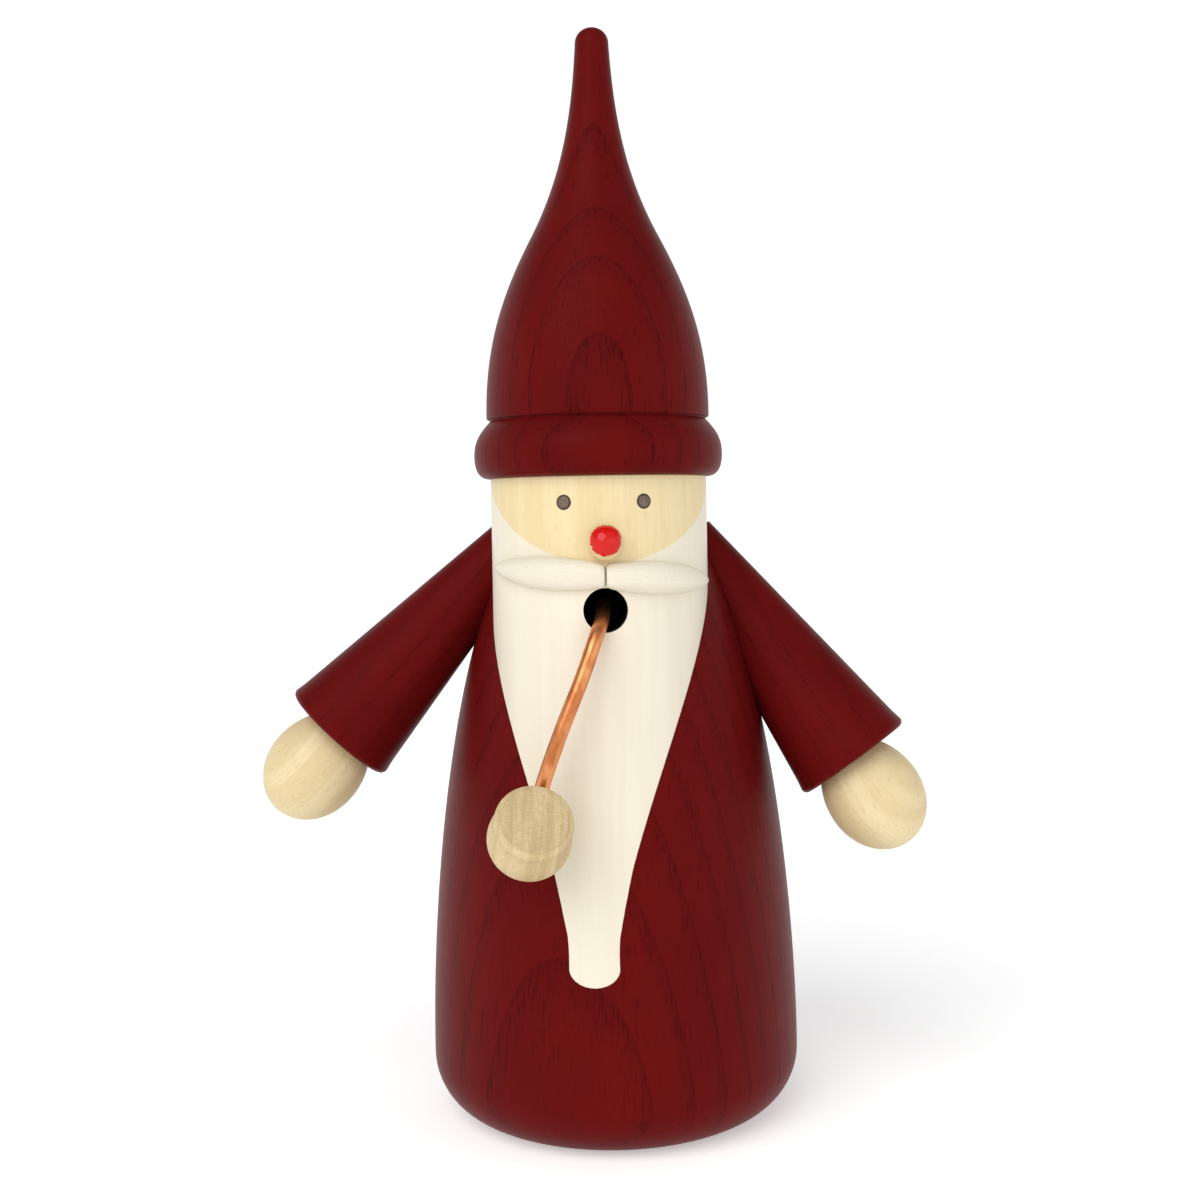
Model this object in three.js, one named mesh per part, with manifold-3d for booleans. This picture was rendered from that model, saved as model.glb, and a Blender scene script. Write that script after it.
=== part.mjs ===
// A turned wooden gnome that smokes incense, about 155 mm tall.
// The hollow body lifts off a base plug that carries the incense cone. The smoke rises inside the body
// and the head, and leaves through the drilled mouth, where a small wire-stemmed pipe hangs.
//
// Frame: millimetres, +Z up, origin at the centre of the base, the face looks along -Y.
// "right" and "left" are the gnome's own sides, so its right arm is on the -X side.

import * as THREE from "three";
import { mergeVertices } from "three/addons/utils/BufferGeometryUtils.js";
import Module from "manifold-3d";

const wasm = await Module();
wasm.setup();

const DEG = Math.PI / 180;

// Fits and fineness
const GAP = 0.3; // left between pieces that touch or are glued
const LARGE_SIDES = 48; // facets round the body, the head and the hat
const MEDIUM_SIDES = 24; // round the sleeves and the hands
const SMALL_SIDES = 16; // round pegs, dowels and bores
const DOME_STEPS = 15; // up the body's dome
const HEAD_FOOT_STEPS = 8; // down the rounded foot of the head's column

// Body: a turned dome on a rounded foot. Above its widest height the outline follows
// (radius / BODY_RADIUS) ^ DOME_FULLNESS + (rise / BODY_RISE) ^ DOME_TAPER = 1.
const BODY_RADIUS = 26.77;
const BODY_WIDEST_HEIGHT = 8.5;
const BODY_RISE = 82.3; // from the widest height to where the dome would close
const DOME_TOP = BODY_WIDEST_HEIGHT + BODY_RISE;
const DOME_FULLNESS = 2.66;
const DOME_TAPER = 1.75;
const FOOT_ROUNDING = 8;

// Smoke chamber, bored from below after the head is glued in
const CHAMBER_RADIUS = 15;
const CHAMBER_TOP = DOME_TOP - 32.8;
const CHAMBER_TOP_CHAMFER = 4;

// Base plug, dish and nail
const PLUG_SEAT_RADIUS = CHAMBER_RADIUS + 1.2; // leaves a ledge that the plug stops against
const PLUG_SEAT_DEPTH = 6;
const PLUG_EDGE_CHAMFER = 0.6;
const AIR_HOLE_RADIUS = 1.8;
const AIR_HOLE_CIRCLE = CHAMBER_RADIUS - 2.4;
const AIR_HOLE_COUNT = 6;
const DISH_RADIUS = AIR_HOLE_CIRCLE - AIR_HOLE_RADIUS - 1.3; // clear of the air holes
const DISH_RIM_HEIGHT = 2.6;
const DISH_WALL = 0.6;
const NAIL_HEAD_RADIUS = 1.6;
const NAIL_HEAD_HEIGHT = 0.7;
const NAIL_SHANK_RADIUS = 0.7;
const NAIL_LENGTH = 4.2;

// Head: a round column that leans back and is let into the front of the body as the beard.
// Heights on it are measured down from its top, where the hat sits.
const HEAD_RADIUS = 15.13;
const HEAD_LENGTH = 74.5;
const HEAD_FOOT_INSET = 3.6; // the foot is rounded in by this much over HEAD_FOOT_HEIGHT
const HEAD_FOOT_HEIGHT = 8.2;
const HEAD_AXIS_DEPTH = 21.25; // from the body's front back to the head's axis, at its top
const HEAD_TOP = new THREE.Vector3(-0.88, HEAD_AXIS_DEPTH - BODY_RADIUS, DOME_TOP + 1.8);
const HEAD_TILT_BACK = 4.72 * DEG;
const HEAD_LEAN_LEFT = 0.27 * DEG;
const FACE_TURN = 2.6 * DEG; // the face looks a little towards the gnome's left

// Smoke way through the head
const CHANNEL_RADIUS = 5.5;
const CHANNEL_TOP = 11.6; // below the top of the head
const MOUTH_RADIUS = 3;
const MOUTH_DROP = 18;

// Face pegs
const EYE_RADIUS = 1.05;
const EYE_LENGTH = 5;
const EYE_PROUD = 0.25;
const EYE_DROP = 3.5;
const EYE_ANGLE = 20.8 * DEG;
const NOSE_RADIUS = 2.4;
const NOSE_CENTRE_PROUD = 1.2;
const NOSE_DROP = 8.9;
const NOSE_SHANK_RADIUS = 1.5;
const NOSE_SHANK_LENGTH = 7;

// Moustache halves, bent round the head
const MOUSTACHE_DROP = 13.4;
const MOUSTACHE_HALF_HEIGHT = 2.25;
const MOUSTACHE_PROUD = 1.75;
const MOUSTACHE_INNER_GAP = 0.3;
const MOUSTACHE_WIDEST = 0.34; // of its length from the middle
const MOUSTACHE_SIDES = 14;
const MOUSTACHE_TIP_ANGLE = 72 * DEG;
const MOUSTACHE_SLOPE = 3.4 * DEG; // the right half's tip is the higher one

// Hat, one turning: a rolled brim, a step and a pointed bell
const BRIM_RADIUS = HEAD_RADIUS + 2.27;
const BRIM_HEIGHT = 8.3;
const HAT_RADIUS = HEAD_RADIUS + 0.47;
const HAT_HEIGHT = 62.7;
const HAT_SHOULDER_HEIGHT = 33.5; // where the bell turns from hollow to round
const HAT_SHOULDER_RADIUS = 9;
const HAT_TIP_RADIUS = 2.35;
const HAT_TIP_HEIGHT = 2.2; // of the rounding over the tip
const HAT_DOWEL_RADIUS = 4;
const HAT_DOWEL_LENGTH = 19;

// Arms: a tapered sleeve that hangs and swings forward from its shoulder, and an egg-shaped hand
const SLEEVE_LENGTH = 37;
const SLEEVE_END_RADIUS = 8.75;
const SLEEVE_TAPER = 7.3 * DEG;
const SLEEVE_EDGE_ROUNDING = 0.8;
const SLEEVE_INNER_EXTRA = 3; // of the cone past the shoulder, before it is hollowed to fit the body
const SHOULDER_X = 13.9;
const SHOULDER_Y = 2.7;
const ARMS = [
  { name: "right", side: -1, shoulderHeight: DOME_TOP - 8.4, hang: 46 * DEG, swing: 5.5 * DEG },
  { name: "left", side: 1, shoulderHeight: DOME_TOP - 9.9, hang: 54.3 * DEG, swing: 12 * DEG },
];
const HAND_RADIUS = 6.9;
const HAND_PROUD = 14;
const HAND_OFFSET = 0.8; // towards the body
const HAND_SOCKET_DEPTH = 3;
const HAND_TENON_RADIUS = 2.5; // glued into the sleeve
const HAND_TENON_LENGTH = 8;
const SHOULDER_DOWEL_RADIUS = 1.5;
const SHOULDER_DOWEL_LENGTH = 9;
const SHOULDER_DOWEL_HEIGHT = DOME_TOP - 15.8;
const HAND_WIDEST = HAND_PROUD - HAND_RADIUS - 1.2; // from the sleeve's end

// Pipe: 2 mm copper wire, one straight leg inside the mouth, and a turned bowl.
// Its points are in the face's frame; LIP is the lowest point of the mouth's edge.
const WIRE_RADIUS = 1;
const WIRE_SIDES = 5; // to each half turn
const WIRE_STEPS = 32;
const LIP = new THREE.Vector3(0, -HEAD_RADIUS, -MOUTH_DROP - MOUTH_RADIUS);
const PIPE_LEG_START = new THREE.Vector3(1.3, CHANNEL_RADIUS + 1.1, 5.65 - MOUTH_DROP); // in the head's back
const PIPE_LEG_END = fromLip(-0.55, 0.33, WIRE_RADIUS + 0.6);
const PIPE_BENDS = [
  fromLip(-1.35, -2.2, -0.1),
  fromLip(-2.3, -3.4, -2.6),
  fromLip(-3.65, -4.3, -6.1),
  fromLip(-6, -4.9, -11.7),
  fromLip(-8.15, -4.7, -17.4),
  fromLip(-9.5, -4.45, -21.5),
];
const PIPE_SOCKET_DEPTH = 6; // the hole is started this far in front of the leg's end
const BOWL_FACE = fromLip(-10.1, -10.8, -23.35); // centre of the bowl's top
const BOWL_AXIS = new THREE.Vector3(0.113, -0.844, 0.524).normalize();
const BOWL_RIM_RADIUS = 5.2;
const BOWL_FACE_RADIUS = 4.45;
const BOWL_RIM_HEIGHT = 1.8;
const BOWL_RIM_EDGE = 0.6; // height of the bevel between the rim and the face
const BOWL_NECK_RADIUS = 4.7;
const BOWL_NECK_HEIGHT = 0.4;
const BOWL_RADIUS = 5.6;
const BOWL_HEIGHT = 11;

// A point given from the lip: towards the left, backwards and up.
function fromLip(left, back, up) {
  return new THREE.Vector3(left, back, up).add(LIP);
}

// ---------------------------------------------------------------- solids

// A closed geometry as a solid.
function solidOf(geometry) {
  const bare = geometry.clone();
  bare.deleteAttribute("normal");
  bare.deleteAttribute("uv");
  const merged = mergeVertices(bare, 1e-4);
  const mesh = new wasm.Mesh({
    numProp: 3,
    vertProperties: merged.attributes.position.array,
    triVerts: new Uint32Array(merged.index.array),
  });
  return new wasm.Manifold(mesh);
}

// A solid back as a geometry.
function geometryOf(solid) {
  const mesh = solid.getMesh();
  const geometry = new THREE.BufferGeometry();
  geometry.setAttribute("position", new THREE.BufferAttribute(mesh.vertProperties, 3));
  geometry.setIndex(new THREE.BufferAttribute(mesh.triVerts, 1));
  geometry.computeVertexNormals();
  return geometry;
}

function moved(solid, matrix) {
  return solid.transform([...matrix.elements]);
}

// The matrix that lays +Z along a direction and puts the origin at a point.
function along(direction, origin = new THREE.Vector3()) {
  const turn = new THREE.Quaternion().setFromUnitVectors(
    new THREE.Vector3(0, 0, 1),
    direction.clone().normalize(),
  );
  return new THREE.Matrix4().compose(origin, turn, new THREE.Vector3(1, 1, 1));
}

// A turning about Z from an outline of [radius, height] points, listed upwards from axis to axis.
function turned(outline, sides) {
  const points = outline.map(([radius, height]) => new THREE.Vector2(Math.max(radius, 0), height));
  return solidOf(new THREE.LatheGeometry(points, sides).rotateX(Math.PI / 2));
}

// Points on a quarter of an ellipse, in the outline's plane, from one angle to another.
function arc(centreRadius, centreHeight, width, height, from, to, steps) {
  return Array.from({ length: steps + 1 }, (_, i) => {
    const angle = from + ((to - from) * i) / steps;
    return [centreRadius + width * Math.cos(angle), centreHeight + height * Math.sin(angle)];
  });
}

// Points on a cubic Bezier curve, without its first point.
function bezier(start, pullStart, pullEnd, end, steps) {
  const curve = new THREE.CubicBezierCurve(
    ...[start, pullStart, pullEnd, end].map(([radius, height]) => new THREE.Vector2(radius, height)),
  );
  return curve
    .getPoints(steps)
    .slice(1)
    .map((point) => [point.x, point.y]);
}

// A round bar on Z between two heights.
function bar(radius, bottom, top, sides = SMALL_SIDES) {
  return turned(
    [
      [0, bottom],
      [radius, bottom],
      [radius, top],
      [0, top],
    ],
    sides,
  );
}

// A round bar from one point to another.
function barBetween(radius, start, end) {
  const direction = end.clone().sub(start);
  return moved(bar(radius, 0, direction.length()), along(direction, start));
}

// ---------------------------------------------------------------- frames

const wood = {
  redAsh: { color: 0x6a1c1a, roughness: 0.45 },
  paleMaple: { color: 0xf2e0b4, roughness: 0.5 },
  whiteStain: { color: 0xf0e7d2, roughness: 0.55 },
  lime: { color: 0xe1cd9b, roughness: 0.55 },
  redLacquer: { color: 0xd7231a, roughness: 0.2 },
  darkPeg: { color: 0x705d4f, roughness: 0.5 },
  beech: { color: 0xd8b98a, roughness: 0.6 },
  copper: { color: 0xc87f4a, roughness: 0.3, metalness: 1 },
  tinplate: { color: 0xb9bab6, roughness: 0.4, metalness: 1 },
};

const gnome = new THREE.Group();
const head = new THREE.Group(); // the head's own frame: origin at its top, +Z up its axis
head.position.copy(HEAD_TOP);
head.rotation.set(-HEAD_TILT_BACK, HEAD_LEAN_LEFT, 0);
gnome.add(head);
const face = new THREE.Group(); // the same, turned to where the face looks
face.rotation.z = FACE_TURN;
head.add(face);
gnome.updateMatrixWorld(true);
const headToBody = head.matrixWorld.clone();
const bodyToHead = headToBody.clone().invert();
const faceToHead = face.matrix.clone();

function addPiece(group, name, solid, finish) {
  const piece = new THREE.Mesh(geometryOf(solid), new THREE.MeshStandardMaterial(finish));
  piece.name = name;
  group.add(piece);
  return piece;
}

// ---------------------------------------------------------------- outlines shared by mating pieces

function bodyRadiusAt(height) {
  const rise = (height - BODY_WIDEST_HEIGHT) / BODY_RISE;
  return BODY_RADIUS * Math.pow(Math.max(0, 1 - Math.pow(rise, DOME_TAPER)), 1 / DOME_FULLNESS);
}

// The body's outside, grown by a clearance.
function bodyEnvelope(grow) {
  const footRadius = BODY_RADIUS - FOOT_ROUNDING;
  const foot = arc(
    footRadius,
    BODY_WIDEST_HEIGHT,
    FOOT_ROUNDING + grow,
    BODY_WIDEST_HEIGHT + grow,
    -Math.PI / 2,
    0,
    6,
  );
  const dome = Array.from({ length: DOME_STEPS }, (_, i) => {
    const angle = ((i + 1) / DOME_STEPS) * (Math.PI / 2);
    const radius = (BODY_RADIUS + grow) * Math.pow(Math.cos(angle), 2 / DOME_FULLNESS);
    const height = (BODY_RISE + grow) * Math.pow(Math.sin(angle), 2 / DOME_TAPER);
    return [i + 1 < DOME_STEPS ? radius : 0, BODY_WIDEST_HEIGHT + height];
  });
  return turned([[0, -grow], ...foot, ...dome], LARGE_SIDES);
}

// The head column in its own frame, grown by a clearance, up to a height.
function headEnvelope(grow, top = grow) {
  const bottom = -HEAD_LENGTH;
  const foot = arc(
    HEAD_RADIUS - HEAD_FOOT_INSET,
    bottom + HEAD_FOOT_HEIGHT,
    HEAD_FOOT_INSET + grow,
    HEAD_FOOT_HEIGHT + grow,
    -Math.PI / 2,
    0,
    HEAD_FOOT_STEPS,
  );
  return turned([[0, bottom - grow], ...foot, [HEAD_RADIUS + grow, top], [0, top]], LARGE_SIDES);
}

// The smoke chamber with the plug's seat below it, in the body's frame.
function chamber() {
  return turned(
    [
      [0, -1],
      [PLUG_SEAT_RADIUS, -1],
      [PLUG_SEAT_RADIUS, PLUG_SEAT_DEPTH + GAP],
      [CHAMBER_RADIUS, PLUG_SEAT_DEPTH + GAP],
      [CHAMBER_RADIUS, CHAMBER_TOP - CHAMBER_TOP_CHAMFER],
      [CHAMBER_RADIUS - CHAMBER_TOP_CHAMFER, CHAMBER_TOP],
      [0, CHAMBER_TOP],
    ],
    LARGE_SIDES,
  );
}

// ---------------------------------------------------------------- arms

// A frame with +Z running out along the arm from its shoulder.
function armFrame(arm) {
  const direction = new THREE.Vector3(
    arm.side * Math.cos(arm.hang) * Math.cos(arm.swing),
    -Math.sin(arm.swing),
    -Math.sin(arm.hang) * Math.cos(arm.swing),
  );
  return along(direction, new THREE.Vector3(arm.side * SHOULDER_X, SHOULDER_Y, arm.shoulderHeight));
}

// The horizontal dowel between a sleeve and the body, or its hole when grown.
function shoulderDowel(arm, grow) {
  const faceX = arm.side * bodyRadiusAt(SHOULDER_DOWEL_HEIGHT);
  const half = SHOULDER_DOWEL_LENGTH / 2 + grow;
  const middle = new THREE.Vector3(faceX, SHOULDER_Y, SHOULDER_DOWEL_HEIGHT);
  const reach = new THREE.Vector3(arm.side * half, 0, 0);
  return barBetween(SHOULDER_DOWEL_RADIUS + grow, middle.clone().sub(reach), middle.clone().add(reach));
}

// The hand's place in the arm's frame: a little towards the body from the sleeve's axis.
function handMatrix(frame) {
  const inward = new THREE.Vector3(0, 0, -1).transformDirection(frame.clone().invert());
  inward.z = 0;
  const shift = inward.normalize().multiplyScalar(HAND_OFFSET);
  return new THREE.Matrix4().makeTranslation(shift.x, shift.y, SLEEVE_LENGTH);
}

// An egg with a tenon; +Z out of the sleeve, origin in the plane of the sleeve's end.
function handSolid(grow) {
  const radius = HAND_RADIUS + grow;
  const inner = arc(0, HAND_WIDEST, radius, HAND_WIDEST + HAND_SOCKET_DEPTH + grow, -Math.PI / 2, 0, 6);
  const outer = arc(0, HAND_WIDEST, radius, HAND_PROUD - HAND_WIDEST + grow, 0, Math.PI / 2, 7);
  const egg = turned([...inner, ...outer.slice(1)], MEDIUM_SIDES);
  const tenonEnd = -HAND_SOCKET_DEPTH - HAND_TENON_LENGTH - grow;
  return egg.add(bar(HAND_TENON_RADIUS + grow, tenonEnd, HAND_WIDEST));
}

function sleeveSolid(arm, frame) {
  const wall = Math.tan(SLEEVE_TAPER);
  const innerRadius = SLEEVE_END_RADIUS - (SLEEVE_LENGTH + SLEEVE_INNER_EXTRA) * wall;
  const end = SLEEVE_LENGTH;
  const rounding = SLEEVE_EDGE_ROUNDING;
  const cone = turned(
    [
      [0, -SLEEVE_INNER_EXTRA],
      [innerRadius, -SLEEVE_INNER_EXTRA],
      [SLEEVE_END_RADIUS - rounding * wall, end - rounding],
      ...arc(SLEEVE_END_RADIUS - rounding, end - rounding, rounding, rounding, 0, Math.PI / 2, 4).slice(1),
      [0, end],
    ],
    MEDIUM_SIDES,
  );
  return moved(cone.subtract(moved(handSolid(GAP), handMatrix(frame))), frame)
    .subtract(bodyEnvelope(GAP))
    .subtract(moved(headEnvelope(GAP), headToBody))
    .subtract(shoulderDowel(arm, GAP));
}

for (const arm of ARMS) {
  const frame = armFrame(arm);
  const hand = addPiece(gnome, "hand_" + arm.name, handSolid(0), wood.lime);
  hand.applyMatrix4(frame.clone().multiply(handMatrix(frame)));
  addPiece(gnome, "sleeve_" + arm.name, sleeveSolid(arm, frame), wood.redAsh);
  addPiece(gnome, "shoulder_dowel_" + arm.name, shoulderDowel(arm, 0), wood.beech);
}

// ---------------------------------------------------------------- body

const armHoles = ARMS.map((arm) => shoulderDowel(arm, GAP));
const bodySolid = armHoles.reduce(
  (solid, hole) => solid.subtract(hole),
  bodyEnvelope(0)
    .subtract(moved(headEnvelope(GAP, BODY_RISE), headToBody))
    .subtract(chamber()),
);
addPiece(gnome, "body", bodySolid, wood.redAsh);

// ---------------------------------------------------------------- base plug, dish and nail

const plugRadius = PLUG_SEAT_RADIUS - GAP;
const dishFloor = PLUG_SEAT_DEPTH + GAP;
const nailTop = dishFloor + DISH_WALL + GAP + NAIL_HEAD_HEIGHT;
const nailUnderHead = nailTop - NAIL_HEAD_HEIGHT;
const nailPoint = nailUnderHead - NAIL_LENGTH;

function plugSolid() {
  const disc = turned(
    [
      [0, 0],
      [plugRadius - PLUG_EDGE_CHAMFER, 0],
      [plugRadius, PLUG_EDGE_CHAMFER],
      [plugRadius, PLUG_SEAT_DEPTH],
      [0, PLUG_SEAT_DEPTH],
    ],
    LARGE_SIDES,
  );
  const airHole = bar(AIR_HOLE_RADIUS, -1, PLUG_SEAT_DEPTH + 1);
  const holes = Array.from({ length: AIR_HOLE_COUNT }, (_, i) => {
    const angle = (i * 2 * Math.PI) / AIR_HOLE_COUNT;
    return airHole.translate([AIR_HOLE_CIRCLE * Math.cos(angle), AIR_HOLE_CIRCLE * Math.sin(angle), 0]);
  });
  const nailHole = bar(NAIL_SHANK_RADIUS + GAP, nailPoint - GAP, PLUG_SEAT_DEPTH + 1, 12);
  return [...holes, nailHole].reduce((solid, hole) => solid.subtract(hole), disc);
}
addPiece(gnome, "base_plug", plugSolid(), wood.beech);

function dishSolid() {
  const rim = dishFloor + DISH_RIM_HEIGHT;
  const dish = turned(
    [
      [0, dishFloor],
      [DISH_RADIUS - DISH_WALL, dishFloor],
      [DISH_RADIUS, dishFloor + DISH_WALL],
      [DISH_RADIUS, rim],
      [DISH_RADIUS - DISH_WALL, rim],
      [DISH_RADIUS - DISH_WALL, dishFloor + DISH_WALL],
      [0, dishFloor + DISH_WALL],
    ],
    MEDIUM_SIDES,
  );
  return dish.subtract(bar(NAIL_SHANK_RADIUS + GAP, dishFloor - 1, rim, 12));
}
addPiece(gnome, "cone_dish", dishSolid(), wood.tinplate);

const nail = turned(
  [
    [0, nailPoint],
    [NAIL_SHANK_RADIUS, nailPoint + 1],
    [NAIL_SHANK_RADIUS, nailUnderHead],
    [NAIL_HEAD_RADIUS, nailUnderHead],
    [NAIL_HEAD_RADIUS * 0.8, nailTop],
    [0, nailTop],
  ],
  16,
);
addPiece(gnome, "dish_nail", nail, wood.tinplate);

// ---------------------------------------------------------------- face pegs and moustache

// A matrix that lays +Z straight out of the face at an angle and a drop from the head's top.
function outOfFace(angle, drop) {
  const direction = new THREE.Vector3(Math.sin(angle), -Math.cos(angle), 0);
  return along(direction, new THREE.Vector3(0, 0, -drop));
}

function eyeSolid(grow) {
  const surface = HEAD_RADIUS - 0.05;
  const proud = surface + EYE_PROUD;
  const radius = EYE_RADIUS + grow;
  return turned(
    [
      [0, HEAD_RADIUS - EYE_LENGTH - grow],
      [radius, HEAD_RADIUS - EYE_LENGTH - grow],
      [radius, surface + grow],
      [radius * 0.75, proud + grow],
      [0, proud + grow * 4],
    ],
    SMALL_SIDES,
  );
}

function noseShank(grow) {
  const inner = HEAD_RADIUS - NOSE_SHANK_LENGTH - grow;
  return bar(NOSE_SHANK_RADIUS + grow, inner, HEAD_RADIUS + NOSE_CENTRE_PROUD);
}

// The nose's ball in place, grown by a clearance.
function noseBall(grow) {
  const centre = HEAD_RADIUS + NOSE_CENTRE_PROUD;
  const radius = NOSE_RADIUS + grow;
  const ball = turned(arc(0, centre, radius, radius, -Math.PI / 2, Math.PI / 2, 9), SMALL_SIDES);
  return moved(ball, outOfFace(0, NOSE_DROP));
}

// The room that pieces on the face leave for the head column.
function headRoom() {
  return bar(HEAD_RADIUS + GAP, -HEAD_LENGTH, 0, LARGE_SIDES);
}

function noseSolid() {
  return noseBall(0)
    .subtract(headRoom())
    .add(moved(noseShank(0), outOfFace(0, NOSE_DROP)));
}

// A pointed drop, turned on Z, then bent round the head by carrying its length round the axis.
function moustacheSolid(side) {
  const bendRadius = HEAD_RADIUS + GAP;
  const inner = MOUSTACHE_INNER_GAP / 2;
  const length = bendRadius * MOUSTACHE_TIP_ANGLE - inner;
  const widest = MOUSTACHE_WIDEST * length;
  const points = [
    [0, 0],
    ...arc(0.62, widest, 0.38, widest, -Math.PI / 2, 0, 5),
    ...bezier([1, widest], [1, 0.62 * length], [0.5, 0.86 * length], [0.16, 0.985 * length], 7),
    [0, length],
  ].map(([r, z]) => new THREE.Vector2(r, z));
  const drop = new THREE.LatheGeometry(points, MOUSTACHE_SIDES).rotateX(Math.PI / 2);
  const place = drop.attributes.position;
  for (let i = 0; i < place.count; i++) {
    const reach = side * (inner + place.getZ(i));
    const angle = reach / bendRadius;
    const radius = bendRadius + MOUSTACHE_PROUD * place.getX(i);
    const height = -side * MOUSTACHE_HALF_HEIGHT * place.getY(i);
    const fall = MOUSTACHE_DROP + reach * Math.tan(MOUSTACHE_SLOPE);
    place.setXYZ(i, radius * Math.sin(angle), -radius * Math.cos(angle), height - fall);
  }
  return solidOf(drop).subtract(headRoom()).subtract(noseBall(GAP));
}

addPiece(face, "eye_right", moved(eyeSolid(0), outOfFace(-EYE_ANGLE, EYE_DROP)), wood.darkPeg);
addPiece(face, "eye_left", moved(eyeSolid(0), outOfFace(EYE_ANGLE, EYE_DROP)), wood.darkPeg);
addPiece(face, "nose", noseSolid(), wood.redLacquer);
addPiece(face, "moustache_right", moustacheSolid(-1), wood.whiteStain);
addPiece(face, "moustache_left", moustacheSolid(1), wood.whiteStain);

// ---------------------------------------------------------------- pipe

// The wire's way: the straight leg, over the lip, down in front of the beard and into the bowl.
function pipeWay() {
  const socketEnd = BOWL_FACE.clone().addScaledVector(BOWL_AXIS, -BOWL_HEIGHT / 2);
  const leg = PIPE_LEG_END.clone().sub(PIPE_LEG_START);
  return new THREE.CatmullRomCurve3(
    [
      PIPE_LEG_START,
      PIPE_LEG_START.clone().addScaledVector(leg, 1 / 3),
      PIPE_LEG_START.clone().addScaledVector(leg, 2 / 3),
      PIPE_LEG_END,
      ...PIPE_BENDS,
      socketEnd.clone().add(new THREE.Vector3(0.25, 0.4, 2.2)),
    ],
    false,
    "centripetal",
  );
}

function wireSolid(radius) {
  const section = new THREE.Shape().absarc(0, 0, radius, 0, 2 * Math.PI, false);
  return solidOf(
    new THREE.ExtrudeGeometry(section, {
      extrudePath: pipeWay(),
      steps: WIRE_STEPS,
      curveSegments: WIRE_SIDES,
    }),
  );
}
addPiece(face, "pipe_stem", wireSolid(WIRE_RADIUS), wood.copper);

function bowlSolid() {
  const neck = -BOWL_RIM_HEIGHT - BOWL_NECK_HEIGHT;
  const widest = (neck - BOWL_HEIGHT) / 2 + 0.4;
  const bowl = turned(
    [
      ...arc(0, widest, BOWL_RADIUS, BOWL_HEIGHT + widest, -Math.PI / 2, 0, 6),
      ...bezier(
        [BOWL_RADIUS, widest],
        [BOWL_RADIUS, widest + 2],
        [BOWL_NECK_RADIUS + 0.3, neck],
        [BOWL_NECK_RADIUS, neck],
        5,
      ),
      [BOWL_NECK_RADIUS, -BOWL_RIM_HEIGHT],
      [BOWL_RIM_RADIUS, -BOWL_RIM_HEIGHT + 0.3],
      [BOWL_RIM_RADIUS, -BOWL_RIM_EDGE],
      [BOWL_FACE_RADIUS, 0],
      [0, 0],
    ],
    MEDIUM_SIDES,
  );
  return moved(bowl, along(BOWL_AXIS, BOWL_FACE)).subtract(wireSolid(WIRE_RADIUS + GAP));
}
addPiece(face, "pipe_bowl", bowlSolid(), wood.beech);

// ---------------------------------------------------------------- head

function headSolid() {
  const channelBottom = -HEAD_LENGTH + HEAD_RADIUS;
  const channel = bar(CHANNEL_RADIUS, channelBottom, -CHANNEL_TOP, MEDIUM_SIDES);
  const mouth = barBetween(
    MOUTH_RADIUS,
    new THREE.Vector3(0, 0, -MOUTH_DROP),
    new THREE.Vector3(0, -HEAD_RADIUS - 2, -MOUTH_DROP),
  );
  const legDirection = PIPE_LEG_START.clone().sub(PIPE_LEG_END).normalize();
  const pipeSocket = barBetween(
    WIRE_RADIUS + GAP,
    PIPE_LEG_START.clone().addScaledVector(legDirection, -PIPE_SOCKET_DEPTH),
    PIPE_LEG_START.clone().addScaledVector(legDirection, GAP),
  );
  const faceCuts = [
    mouth,
    pipeSocket,
    moved(noseShank(GAP), outOfFace(0, NOSE_DROP)),
    moved(eyeSolid(GAP), outOfFace(-EYE_ANGLE, EYE_DROP)),
    moved(eyeSolid(GAP), outOfFace(EYE_ANGLE, EYE_DROP)),
  ];
  const cuts = [
    channel,
    moved(chamber(), bodyToHead),
    ...armHoles.map((hole) => moved(hole, bodyToHead)),
    bar(HAT_DOWEL_RADIUS + GAP, -HAT_DOWEL_LENGTH / 2 - GAP, 1),
    ...faceCuts.map((cut) => moved(cut, faceToHead)),
  ];
  return cuts.reduce((solid, cut) => solid.subtract(cut), headEnvelope(0));
}
addPiece(head, "head", headSolid(), wood.paleMaple);

// ---------------------------------------------------------------- hat

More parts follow.
